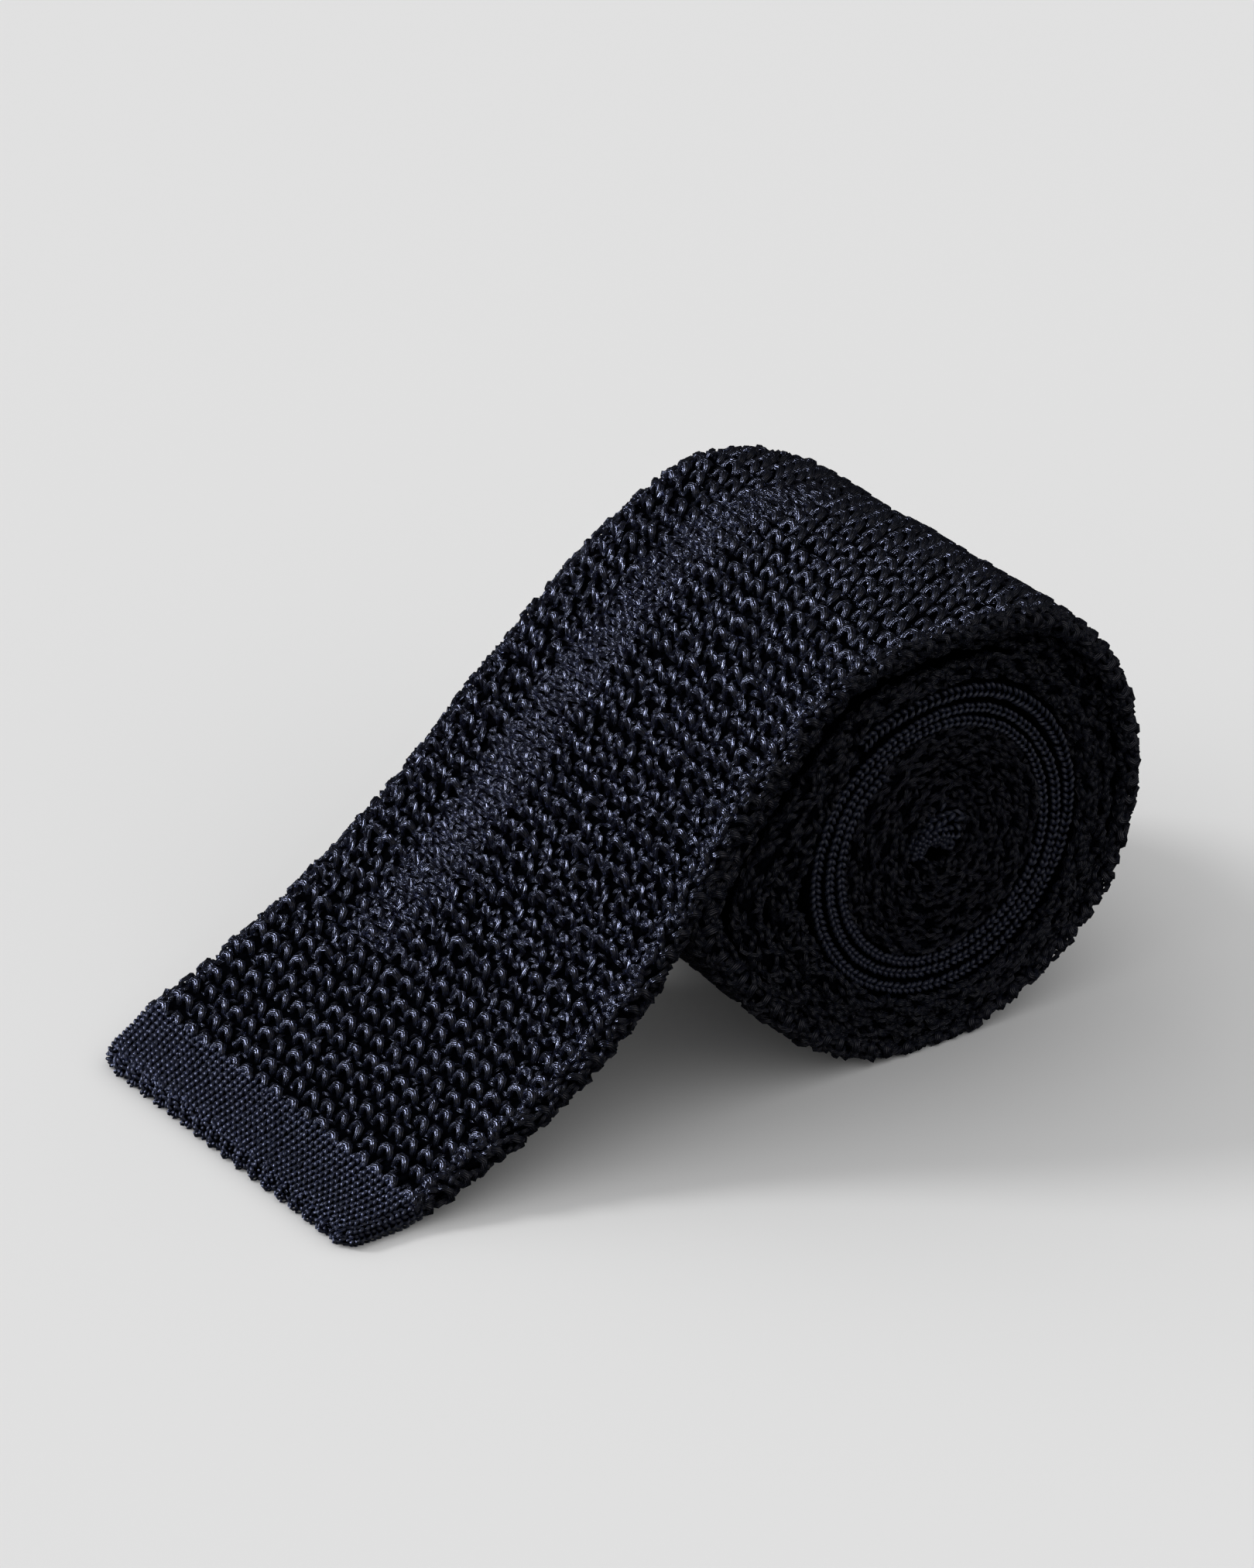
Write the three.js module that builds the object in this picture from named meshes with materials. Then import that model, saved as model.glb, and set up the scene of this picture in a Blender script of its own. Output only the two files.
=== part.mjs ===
// A knitted silk tie, rolled up from its narrow end and set down on a table.
// Lengths are millimetres, +Z is up. The tie's width runs along Y, and the free end points to -X.
// The tie is a flat knitted tube: two walls of knit with a thin hollow between them.
import * as THREE from 'three';

// Knit
const bladeWidth = 65; // front blade, edge to edge
const neckWidth = 61; // fine knit round the neck
const tailWidth = 62; // narrow end, at the middle of the roll
const bladeThickness = 4.3; // both walls of the loose front blade
const tailThickness = 2.5; // both walls of the tail, wound tight
const hemThickness = 3.4; // both walls of the fine hem, lying flat
const hemLength = 10.5; // hem along the tie
const hemTaper = 6; // how far the hem's far edge draws in by its end
const edgeRound = 1.2; // rounding where the tube folds over at each edge
const hollowGap = 0.3; // hollow between the two walls
const hollowMargin = 3; // from the edge of the tie to the hollow
const hemEndWall = 2; // closed end of the tube beyond the hollow
const clearance = 0.3; // between neighbouring turns and neighbouring pieces

// Roll
const coilHeight = 61.7; // floor to the top of the roll
const coilWidth = 80; // nose of the outer turn to the far side of the roll
const eyeReach = 89; // first row of the blade to the eye of the roll
const eyeHeight = 28.7; // floor to the eye
const eyeLean = 6; // how far the eye shifts along X from the near face to the far face
const eyeDrop = 1; // how far the eye drops from the near face to the far face
const bladeTurns = 2.9; // turns of front blade on the roll, counted from its top
const neckTurns = 3;
const neckRadius = 20.8; // outer radius of the neck's coil under the last turn of blade
const neckPitch = 1.9; // from one turn of neck to the next
const tailPitch = 2.7;
const eyeRadius = 1.3; // open space left at the eye

// Fineness of the loft
const stationsPerTurn = 24;
const clockMarks = 12; // rows of the outline table in one turn

// Outer face of the tie from the hem to the top of the roll.
// x is a share of the eye's reach, z a share of the coil's height. The hem's end takes hemLength.
const climb = [
  { mark: -1, nearX: 0, nearZ: 0.047, farX: 0, farZ: 0.047 },
  { mark: 0, nearX: 0, nearZ: 0.058, farX: 0, farZ: 0.058 },
  { mark: 1, nearX: 0.128, nearZ: 0.133, farX: 0.115, farZ: 0.131 },
  { mark: 2, nearX: 0.25, nearZ: 0.214, farX: 0.23, farZ: 0.216 },
  { mark: 3, nearX: 0.357, nearZ: 0.318, farX: 0.342, farZ: 0.321 },
  { mark: 4, nearX: 0.459, nearZ: 0.473, farX: 0.46, farZ: 0.457 },
  { mark: 4.5, nearX: 0.545, nearZ: 0.643, farX: 0.554, farZ: 0.577 },
  { mark: 5, nearX: 0.624, nearZ: 0.776, farX: 0.652, farZ: 0.705 },
  { mark: 6, nearX: 0.797, nearZ: 0.964, farX: 0.848, farZ: 0.911 },
];
const topMark = 7; // the top of the roll, where the turns are counted from

// Outline of the roll round its eye, clockwise from the top seen from the near face.
// x is a share of the coil's width, z a share of its height. It has a nose where the blade leaves it.
const outline = [
  { nearX: 0, nearZ: 0.527, farX: 0, farZ: 0.532 },
  { nearX: 0.221, nearZ: 0.496, farX: 0.2, farZ: 0.45 },
  { nearX: 0.377, nearZ: 0.283, farX: 0.35, farZ: 0.259 },
  { nearX: 0.412, nearZ: 0, farX: 0.381, farZ: 0 },
  { nearX: 0.338, nearZ: -0.253, farX: 0.331, farZ: -0.243 },
  { nearX: 0.186, nearZ: -0.418, farX: 0.188, farZ: -0.413 },
  { nearX: 0, nearZ: -0.507, farX: 0, farZ: -0.486 },
  { nearX: -0.204, nearZ: -0.459, farX: -0.194, farZ: -0.438 },
  { nearX: -0.394, nearZ: -0.295, farX: -0.394, farZ: -0.292 },
  { nearX: -0.562, nearZ: 0, farX: -0.57, farZ: -0.016 },
  { nearX: -0.388, nearZ: 0.284, farX: -0.375, farZ: 0.227 },
  { nearX: -0.219, nearZ: 0.491, farX: -0.163, farZ: 0.438 },
];

const mix = (a, b, t) => a + (b - a) * t;
const clamp01 = (t) => Math.min(Math.max(t, 0), 1);

// Smooth curve through knots { t, x, z }, with slopes taken from each knot's neighbours.
function through(knots, t) {
  let i = 1;
  while (i < knots.length - 3 && knots[i + 1].t < t) i += 1;
  const [before, from, to, after] = [knots[i - 1], knots[i], knots[i + 1], knots[i + 2]];
  const span = to.t - from.t;
  const p = (t - from.t) / span;
  const along = (key) => {
    const slopeFrom = (to[key] - before[key]) / (to.t - before.t) * span;
    const slopeTo = (after[key] - from[key]) / (after.t - from.t) * span;
    const bend = 2 * (from[key] - to[key]) + slopeFrom + slopeTo;
    const sway = 3 * (to[key] - from[key]) - 2 * slopeFrom - slopeTo;
    return ((bend * p + sway) * p + slopeFrom) * p + from[key];
  };
  return { x: along('x'), z: along('z') };
}

// The eye of the roll at one face of the tie: side is 'near' (-Y) or 'far' (+Y).
function eyeAt(side) {
  const lean = side === 'near' ? -0.5 : 0.5;
  return { x: eyeReach + lean * eyeLean, z: eyeHeight - lean * eyeDrop };
}

// Radius of the turns inside the blade, where turn counts from the top of the roll.
function coilRadius(turn) {
  const bladeOver = bladeTurns + 1; // the neck's first turn still lies under blade
  const neckOver = bladeOver + neckTurns;
  if (turn <= bladeOver) return neckRadius;
  if (turn <= neckOver) return neckRadius - (turn - bladeOver) * neckPitch;
  return neckRadius - neckTurns * neckPitch - (turn - neckOver) * tailPitch;
}

// Turn at which the tie ends, where its inner face still clears the open eye.
const tailRoom = neckRadius - neckTurns * neckPitch - tailThickness - eyeRadius;
const lastTurn = bladeTurns + 1 + neckTurns + tailRoom / tailPitch;

// Outer face on the roll: the outline draws in to a round coil as the turns go inwards.
function onCoil(turn, side) {
  const eye = eyeAt(side);
  const whole = Math.floor(turn);
  const knots = [];
  for (let k = -2; k <= clockMarks + 2; k += 1) {
    const row = outline[(k + clockMarks) % clockMarks];
    knots.push({ t: k, x: row[`${side}X`] * coilWidth, z: row[`${side}Z`] * coilHeight });
  }
  const skin = through(knots, (turn - whole) * clockMarks);
  const inward = clamp01(turn / (bladeTurns + 1));
  const angle = Math.PI / 2 - 2 * Math.PI * turn;
  const radius = coilRadius(turn);
  return {
    x: eye.x + mix(skin.x, radius * Math.cos(angle), inward),
    z: Math.max(eye.z + mix(skin.z, radius * Math.sin(angle), inward), 0),
  };
}

function climbKnots(side) {
  const reach = eyeAt(side).x;
  const knots = climb.map((row) => ({
    t: row.mark,
    x: row.mark < 0 ? row.mark * hemLength : row[`${side}X`] * reach,
    z: row[`${side}Z`] * coilHeight,
  }));
  for (const step of [0, 1, 2]) {
    knots.push({ t: topMark + step, ...onCoil(step / clockMarks, side) });
  }
  const [end, start] = knots;
  return [{ t: 2 * end.t - start.t, x: 2 * end.x - start.x, z: 2 * end.z - start.z }, ...knots];
}
const climbs = { near: climbKnots('near'), far: climbKnots('far') };

// Outer face anywhere along the tie. mark is -1 to 0 on the hem, then 0 to 7 up to the top
// of the roll, and 12 more for each turn.
function outerFace(mark, side) {
  if (mark < topMark) return through(climbs[side], mark);
  return onCoil((mark - topMark) / clockMarks, side);
}

const markOfTurn = (turn) => topMark + turn * clockMarks;
const bladeEnd = markOfTurn(bladeTurns);
const neckEnd = markOfTurn(bladeTurns + neckTurns);
const tieEnd = markOfTurn(lastTurn);

// Millimetres along the tie for one unit of mark, and the mark a length further on.
function pace(mark) {
  const probe = 0.01;
  const a = outerFace(mark - probe, 'near');
  const b = outerFace(mark + probe, 'near');
  return Math.hypot(b.x - a.x, b.z - a.z) / (2 * probe);
}
function further(mark, length) {
  const half = mark + length / 2 / pace(mark);
  return mark + length / pace(half);
}

// Unit vector that points into the tie's thickness, square to its outer face.
function inwardNormal(mark, side) {
  const probe = 0.05;
  const a = outerFace(mark - probe, side);
  const b = outerFace(mark + probe, side);
  const length = Math.hypot(b.x - a.x, b.z - a.z);
  return { x: (b.z - a.z) / length, z: -(b.x - a.x) / length };
}

// Distance from the outer face to the outer face of the turn beneath it.
function roomBeneath(mark, side) {
  const here = outerFace(mark, side);
  const samples = 40;
  let nearest = Infinity;
  let previous = null;
  for (let i = 0; i <= samples; i += 1) {
    const below = mark + clockMarks * mix(0.7, 1.3, i / samples);
    if (below < topMark || below > tieEnd) continue;
    const point = outerFace(below, side);
    if (previous) {
      const edge = { x: point.x - previous.x, z: point.z - previous.z };
      const reach = (here.x - previous.x) * edge.x + (here.z - previous.z) * edge.z;
      const share = clamp01(reach / (edge.x ** 2 + edge.z ** 2));
      const gapX = here.x - previous.x - share * edge.x;
      const gapZ = here.z - previous.z - share * edge.z;
      nearest = Math.min(nearest, Math.hypot(gapX, gapZ));
    }
    previous = point;
  }
  return nearest;
}

// Thickness the knit has when nothing presses on it.
function looseThickness(mark) {
  if (mark <= 0) return hemThickness;
  if (mark < neckEnd) return mix(hemThickness, bladeThickness, clamp01(mark));
  return tailThickness;
}

// The last millimetres of each free end round off to a blunt lip.
function endRounding(mark) {
  const toEnd = Math.min((mark + 1) * hemLength, (tieEnd - mark) * pace(tieEnd - 1));
  const lip = clamp01(toEnd / (hemThickness / 2));
  return mix(0.4, 1, Math.sqrt(lip * (2 - lip)));
}

// Half width at one side of the tie. The far edge of the front hem tapers.
function halfWidth(mark, side) {
  if (mark > neckEnd) return tailWidth / 2;
  if (mark > bladeEnd) return neckWidth / 2;
  const drawnIn = clamp01((mark - topMark) / (bladeEnd - topMark)) * (bladeWidth - neckWidth) / 4;
  const taper = side === 'far' && mark < 0 ? -mark * hemTaper : 0;
  return bladeWidth / 2 - drawnIn - taper;
}

// Cross-section of the tie at a mark: an outer loop of eight points and the hollow's four.
// Each point is { y, depth, point }, with depth measured into the thickness.
function sectionAt(mark) {
  const sides = {};
  for (const side of ['near', 'far']) {
    const room = roomBeneath(mark, side) - clearance;
    const full = Math.min(looseThickness(mark), room);
    sides[side] = {
      face: outerFace(mark, side),
      inward: inwardNormal(mark, side),
      full,
      half: halfWidth(mark, side),
    };
  }
  const { near, far } = sides;
  const lip = endRounding(mark);
  const place = (y, share) => {
    const across = (y + near.half) / (near.half + far.half);
    const full = mix(near.full, far.full, across);
    const depth = full * (0.5 + (share - 0.5) * lip);
    const x = mix(near.face.x + near.inward.x * depth, far.face.x + far.inward.x * depth, across);
    const z = mix(near.face.z + near.inward.z * depth, far.face.z + far.inward.z * depth, across);
    return { y, depth, point: new THREE.Vector3(x, y, Math.max(z, 0)) };
  };
  const shoulder = 0.28; // share of the thickness taken by the rounding of the edge
  const outer = [
    place(far.half - edgeRound, 0),
    place(far.half, shoulder),
    place(far.half, 1 - shoulder),
    place(far.half - edgeRound, 1),
    place(-near.half + edgeRound, 1),
    place(-near.half, 1 - shoulder),
    place(-near.half, shoulder),
    place(-near.half + edgeRound, 0),
  ];
  const thinnest = Math.min(near.full, far.full) * lip;
  const hollow = Math.min(hollowGap, thinnest / 3) / thinnest / 2;
  const inner = [
    place(far.half - hollowMargin, 0.5 - hollow),
    place(far.half - hollowMargin, 0.5 + hollow),
    place(-near.half + hollowMargin, 0.5 + hollow),
    place(-near.half + hollowMargin, 0.5 - hollow),
  ];
  return { outer, inner };
}

// Marks of the sections from one end of a piece to the other, on the clock of the roll.
function marksBetween(first, last) {
  const step = clockMarks / stationsPerTurn;
  const marks = [first];
  for (let k = Math.ceil(first / step); k * step < last; k += 1) {
    if (k * step - marks[marks.length - 1] > step / 3 && last - k * step > step / 3) {
      marks.push(k * step);
    }
  }
  marks.push(last);
  return marks;
}

// Lofts a piece of the flat tube through its sections. An end is open, so that the hollow
// shows, or closed, where the hollow stops one section short.
function flatTube(marks, { closedStart = false, closedEnd = false } = {}) {
  const sections = marks.map(sectionAt);
  const positions = [];
  const index = [];
  const put = (corner) => positions.push(...corner.point.toArray()) / 3 - 1;
  const outerRings = sections.map((section) => section.outer.map(put));
  const hollowStart = closedStart ? 1 : 0;
  const hollowEnd = sections.length - (closedEnd ? 1 : 0);
  const innerRings = sections.slice(hollowStart, hollowEnd).map((section) => section.inner.map(put));

  const skin = (rings, outwards) => {
    for (let i = 0; i < rings.length - 1; i += 1) {
      const count = rings[i].length;
      for (let k = 0; k < count; k += 1) {
        const next = (k + 1) % count;
        const [a, b, c, d] = [rings[i][k], rings[i][next], rings[i + 1][next], rings[i + 1][k]];
        if (outwards) index.push(a, d, c, a, c, b);
        else index.push(a, c, d, a, b, c);
      }
    }
  };
  skin(outerRings, true);
  skin(innerRings, false);

  const flat = (corners) => corners.map((corner) => new THREE.Vector2(corner.y, -corner.depth));
  const cap = (contour, contourRing, hole, holeRing, facesBack) => {
    const names = [...contourRing, ...holeRing];
    const holes = hole.length ? [flat(hole)] : [];
    for (const face of THREE.ShapeUtils.triangulateShape(flat(contour), holes)) {
      const [a, b, c] = face.map((k) => names[k]);
      const corners = face.map((k) => [...flat(contour), ...flat(hole)][k]);
      const seenFromEnd = THREE.ShapeUtils.area(corners) > 0;
      if (seenFromEnd !== facesBack) index.push(a, b, c);
      else index.push(a, c, b);
    }
  };
  const startSection = sections[0];
  const endSection = sections[sections.length - 1];
  const lastRing = outerRings.length - 1;
  if (closedStart) {
    cap(startSection.outer, outerRings[0], [], [], true);
    cap(sections[1].inner, innerRings[0], [], [], false);
  } else {
    cap(startSection.outer, outerRings[0], startSection.inner, innerRings[0], true);
  }
  if (closedEnd) {
    cap(endSection.outer, outerRings[lastRing], [], [], false);
    cap(sections[sections.length - 2].inner, innerRings[innerRings.length - 1], [], [], true);
  } else {
    cap(endSection.outer, outerRings[lastRing], endSection.inner, innerRings[innerRings.length - 1], false);
  }

  const geometry = new THREE.BufferGeometry();
  geometry.setAttribute('position', new THREE.Float32BufferAttribute(positions, 3));
  geometry.setIndex(index);
  geometry.computeVertexNormals();
  return geometry;
}

const openKnit = new THREE.MeshStandardMaterial({ color: 0x12131c, roughness: 0.55, metalness: 0 });
const plainKnit = new THREE.MeshStandardMaterial({ color: 0x161823, roughness: 0.5, metalness: 0 });

function piece(name, geometry, material) {
  const mesh = new THREE.Mesh(geometry, material);
  mesh.name = name;
  return mesh;
}

// Fine hem of the front blade, closed at its free end and lying flat on the table.
function frontHem() {
  const lip = hemThickness / 4;
  const marks = [-1, further(-1, lip), further(-1, hemEndWall), -0.5, further(0, -clearance)];
  return piece('front_hem', flatTube(marks, { closedStart: true }), plainKnit);
}

// Open-knit front blade: it climbs from the hem and makes the outer turns of the roll.
function frontBlade() {
  return piece('front_blade', flatTube(marksBetween(0, bladeEnd)), openKnit);
}

// Fine-knit neck band, the middle turns.
function neckBand() {
  const start = further(bladeEnd, clearance);
  return piece('neck_band', flatTube(marksBetween(start, neckEnd)), plainKnit);
}

// Open-knit tail, the turns round the eye, with its own hem at the very middle.
const tailHemStart = further(tieEnd, -hemLength);
function tailBlade() {
  const start = further(neckEnd, clearance);
  return piece('tail_blade', flatTube(marksBetween(start, tailHemStart)), openKnit);
}
function tailHem() {
  const marks = marksBetween(further(tailHemStart, clearance), further(tieEnd, -hemEndWall));
  marks.push(tieEnd);
  return piece('tail_hem', flatTube(marks, { closedEnd: true }), plainKnit);
}

const tie = new THREE.Group();
tie.add(frontHem(), frontBlade(), neckBand(), tailBlade(), tailHem());

// The origin is the middle of the footprint, on the table.
const extent = new THREE.Box3().setFromObject(tie);
const middle = extent.getCenter(new THREE.Vector3());
tie.position.set(-middle.x, -middle.y, -extent.min.z);
tie.updateMatrixWorld(true);

export default tie;
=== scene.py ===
import math

import bpy
import numpy as np
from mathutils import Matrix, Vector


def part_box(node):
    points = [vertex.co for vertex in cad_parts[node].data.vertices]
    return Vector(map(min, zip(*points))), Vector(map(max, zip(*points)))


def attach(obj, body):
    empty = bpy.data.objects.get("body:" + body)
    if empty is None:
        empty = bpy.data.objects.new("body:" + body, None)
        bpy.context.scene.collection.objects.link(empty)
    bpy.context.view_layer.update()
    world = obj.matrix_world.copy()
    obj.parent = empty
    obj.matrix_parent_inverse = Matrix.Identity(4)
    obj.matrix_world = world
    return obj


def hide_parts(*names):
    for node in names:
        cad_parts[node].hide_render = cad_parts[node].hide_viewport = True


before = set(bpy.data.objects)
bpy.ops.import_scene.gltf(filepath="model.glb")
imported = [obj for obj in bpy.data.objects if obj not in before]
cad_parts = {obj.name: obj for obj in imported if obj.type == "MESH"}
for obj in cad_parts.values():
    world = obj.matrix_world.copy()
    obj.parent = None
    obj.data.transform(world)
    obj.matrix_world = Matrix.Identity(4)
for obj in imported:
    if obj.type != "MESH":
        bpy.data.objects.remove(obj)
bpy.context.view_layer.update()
bpy.ops.object.select_all(action="DESELECT")
MM = 0.001
rng = np.random.default_rng(21)

# %% [markdown]
# ## The winding
# A rolled tie is one long strip seen from its edge: a curve in the XZ plane that comes in from the
# hem, climbs, and spirals clockwise round the eye of the roll. It could be drawn as a Bezier curve
# and extruded, but the near and far faces of the real roll differ, because the tie was rolled at a
# slight slant. So both faces get a curve of their own, and the cloth is stretched between the two.
# The numbers are the CAD solid's: shares of the eye's distance, of the coil's width and its height.
# %% Sizes of the tie and its roll
BLADE_WIDTH, NECK_WIDTH, TAIL_WIDTH = 65 * MM, 61 * MM, 62 * MM
BLADE_THICK, TAIL_THICK, HEM_THICK = 4.3 * MM, 2.5 * MM, 3.4 * MM
HEM_LENGTH, HEM_TAPER = 10.5 * MM, 6 * MM
CLEARANCE = 0.3 * MM
COIL_HEIGHT, COIL_WIDTH = 61.7 * MM, 80 * MM
EYE_REACH, EYE_HEIGHT, EYE_LEAN, EYE_DROP = 89 * MM, 28.7 * MM, 6 * MM, 1 * MM
BLADE_TURNS, NECK_TURNS = 2.9, 3
NECK_RADIUS, NECK_PITCH, TAIL_PITCH, EYE_RADIUS = 20.8 * MM, 1.9 * MM, 2.7 * MM, 1.3 * MM
TOP_MARK, MARKS_PER_TURN = 7, 12

# mark, then x and z of the outer face on the near side, then on the far side
climb = np.array([
    (-1, 0, 0.047, 0, 0.047),
    (0, 0, 0.058, 0, 0.058),
    (1, 0.128, 0.133, 0.115, 0.131),
    (2, 0.25, 0.214, 0.23, 0.216),
    (3, 0.357, 0.318, 0.342, 0.321),
    (4, 0.459, 0.473, 0.46, 0.457),
    (4.5, 0.545, 0.643, 0.554, 0.577),
    (5, 0.624, 0.776, 0.652, 0.705),
    (6, 0.797, 0.964, 0.848, 0.911),
])
# outline of the roll round its eye, clockwise from the top, near x and z, then far x and z
outline = np.array([
    (0, 0.527, 0, 0.532),
    (0.221, 0.496, 0.2, 0.45),
    (0.377, 0.283, 0.35, 0.259),
    (0.412, 0, 0.381, 0),
    (0.338, -0.253, 0.331, -0.243),
    (0.186, -0.418, 0.188, -0.413),
    (0, -0.507, 0, -0.486),
    (-0.204, -0.459, -0.194, -0.438),
    (-0.394, -0.295, -0.394, -0.292),
    (-0.562, 0, -0.57, -0.016),
    (-0.388, 0.284, -0.375, 0.227),
    (-0.219, 0.491, -0.163, 0.438),
])
print(len(climb), "marks on the climb and", len(outline), "round the roll")


# %% The curve of the outer face, near and far
def through(knots, points, t):
    """Smooth curve through points at knots, each slope taken from the neighbours on both sides."""
    i = np.clip(np.searchsorted(knots, t) - 1, 1, len(knots) - 3)
    span = knots[i + 1] - knots[i]
    p = ((t - knots[i]) / span)[..., None]
    start, end = points[i], points[i + 1]
    slope_in = (end - points[i - 1]) / (knots[i + 1] - knots[i - 1])[..., None] * span[..., None]
    slope_out = (points[i + 2] - start) / (knots[i + 2] - knots[i])[..., None] * span[..., None]
    bend = 2 * (start - end) + slope_in + slope_out
    sway = 3 * (end - start) - 2 * slope_in - slope_out
    return ((bend * p + sway) * p + slope_in) * p + start


def eye_at(side):
    lean = (-0.5, 0.5)[side]
    return np.array([EYE_REACH + lean * EYE_LEAN, EYE_HEIGHT - lean * EYE_DROP])


tail_room = NECK_RADIUS - NECK_TURNS * NECK_PITCH - TAIL_THICK - EYE_RADIUS
last_turn = BLADE_TURNS + 1 + NECK_TURNS + tail_room / TAIL_PITCH


def coil_radius(turn):
    in_neck = np.clip(turn - (BLADE_TURNS + 1), 0, NECK_TURNS)
    in_tail = np.maximum(turn - (BLADE_TURNS + 1 + NECK_TURNS), 0)
    return NECK_RADIUS - in_neck * NECK_PITCH - in_tail * TAIL_PITCH


def on_coil(turn, side):
    """Outer face on the roll: the outline draws in to a round coil as the turns go inwards."""
    clock = np.arange(-2, MARKS_PER_TURN + 3)
    rows = outline[clock % MARKS_PER_TURN, 2 * side:2 * side + 2] * [COIL_WIDTH, COIL_HEIGHT]
    skin_point = through(clock.astype(float), rows, (turn - np.floor(turn)) * MARKS_PER_TURN)
    inward = np.clip(turn / (BLADE_TURNS + 1), 0, 1)[..., None]
    angle = math.pi / 2 - 2 * math.pi * turn
    round_point = coil_radius(turn)[..., None] * np.stack([np.cos(angle), np.sin(angle)], -1)
    point = eye_at(side) + skin_point * (1 - inward) + round_point * inward
    point[..., 1] = np.maximum(point[..., 1], 0)
    return point


def climb_knots(side):
    reach = eye_at(side)[0]
    marks, xz = climb[:, 0], climb[:, 1 + 2 * side:3 + 2 * side] * [reach, COIL_HEIGHT]
    xz[0, 0] = -HEM_LENGTH
    steps = np.arange(3.0)
    marks = np.concatenate([marks, TOP_MARK + steps])
    xz = np.concatenate([xz, on_coil(steps / MARKS_PER_TURN, side)])
    marks = np.concatenate([[2 * marks[0] - marks[1]], marks])
    return marks, np.concatenate([[2 * xz[0] - xz[1]], xz])


climbs = [climb_knots(0), climb_knots(1)]


def outer_face(mark, side):
    on_climb = through(*climbs[side], np.minimum(mark, TOP_MARK))
    on_roll = on_coil(np.maximum(mark - TOP_MARK, 0) / MARKS_PER_TURN, side)
    return np.where((mark < TOP_MARK)[..., None], on_climb, on_roll)


BLADE_END = TOP_MARK + MARKS_PER_TURN * BLADE_TURNS
NECK_END = TOP_MARK + MARKS_PER_TURN * (BLADE_TURNS + NECK_TURNS)
TIE_END = TOP_MARK + MARKS_PER_TURN * last_turn
print("turns on the roll", round(last_turn, 2))


# %% [markdown]
# ## A table of the path
# Every stitch needs to know where the cloth is, which way its face points and how thick it is there.
# The slow sums are done once, on a fine table along the tie, and each stitch later reads between two
# rows of it. The thickness is what a loose tie has, or the room that the next turn leaves it.
# %% Table of face, inward normal, thickness and half width
def loose_thickness(mark):
    climbing = HEM_THICK + (BLADE_THICK - HEM_THICK) * np.clip(mark, 0, 1)
    return np.where(mark < NECK_END, climbing, TAIL_THICK)


def room_beneath(mark, side):
    """Distance from the outer face to the outer face of the turn beneath it."""
    below = mark[:, None] + MARKS_PER_TURN * np.linspace(0.7, 1.3, 41)
    point = outer_face(np.clip(below, TOP_MARK, TIE_END), side)
    here = outer_face(mark, side)[:, None]
    start, edge = point[:, :-1], point[:, 1:] - point[:, :-1]
    share = ((here - start) * edge).sum(-1) / np.maximum((edge ** 2).sum(-1), 1e-12)
    gap = here - start - np.clip(share, 0, 1)[..., None] * edge
    distance = np.hypot(gap[..., 0], gap[..., 1])
    distance[(below[:, :-1] < TOP_MARK) | (below[:, 1:] > TIE_END)] = np.inf
    return distance.min(1)


# the second turn lies a little deeper than the first where it passes under the top
SECOND_TURN_TOP, SECOND_TURN_TUCK = 19.0, 3.6 * MM
HEM_CORNER = 3 * MM
# the edges of the turns wander a little in and out
wander_marks = np.arange(14, TIE_END, 1.5)
edge_wander = rng.normal(0, 0.35 * MM, (2, len(wander_marks)))
edge_wander[:, :2] = 0


def half_width(mark, side):
    drawn_in = np.clip((mark - TOP_MARK) / (BLADE_END - TOP_MARK), 0, 1) * (BLADE_WIDTH - NECK_WIDTH) / 4
    taper = np.where(mark < 0, -mark * HEM_TAPER, 0) * side
    blade = BLADE_WIDTH / 2 - drawn_in - taper
    width = np.where(mark > NECK_END, TAIL_WIDTH / 2, np.where(mark > BLADE_END, NECK_WIDTH / 2, blade))
    tucked = SECOND_TURN_TUCK * np.exp(-((mark - SECOND_TURN_TOP) / 2.3) ** 2) * (1 - side)
    to_corner = np.clip(1 - (mark + 1) * HEM_LENGTH / HEM_CORNER, 0, 1)
    corner = 0.6 * HEM_CORNER * (1 - np.sqrt(1 - to_corner ** 2))
    wander = np.interp(mark, wander_marks, edge_wander[side])
    return width - tucked - corner + wander


# %% The table, one row for each small step of the mark
track_mark = np.linspace(-1, TIE_END, 9001)
coarse_mark = np.linspace(-1, TIE_END, 1601)
sides = []
for side in (0, 1):
    face = outer_face(track_mark, side)
    run = outer_face(track_mark + 0.05, side) - outer_face(track_mark - 0.05, side)
    run /= np.hypot(run[:, 0], run[:, 1])[:, None]
    room = np.minimum(room_beneath(coarse_mark, side), 1) - CLEARANCE
    full = np.minimum(loose_thickness(track_mark), np.interp(track_mark, coarse_mark, room))
    sides.append(np.column_stack([face, run[:, 1], -run[:, 0], full, half_width(track_mark, side)]))
near_step = np.hypot(*np.diff(sides[0][:, :2], axis=0).T)
far_step = np.hypot(*np.diff(sides[1][:, :2], axis=0).T)
track_along = np.concatenate([[0], np.cumsum((near_step + far_step) / 2)])
track_along -= np.interp(0, track_mark, track_along)
shift_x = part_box("front_blade")[0].x
for table in sides:
    table[:, 0] += shift_x
track = np.column_stack(sides)


def along_at(mark):
    return float(np.interp(mark, track_mark, track_along))


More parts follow.
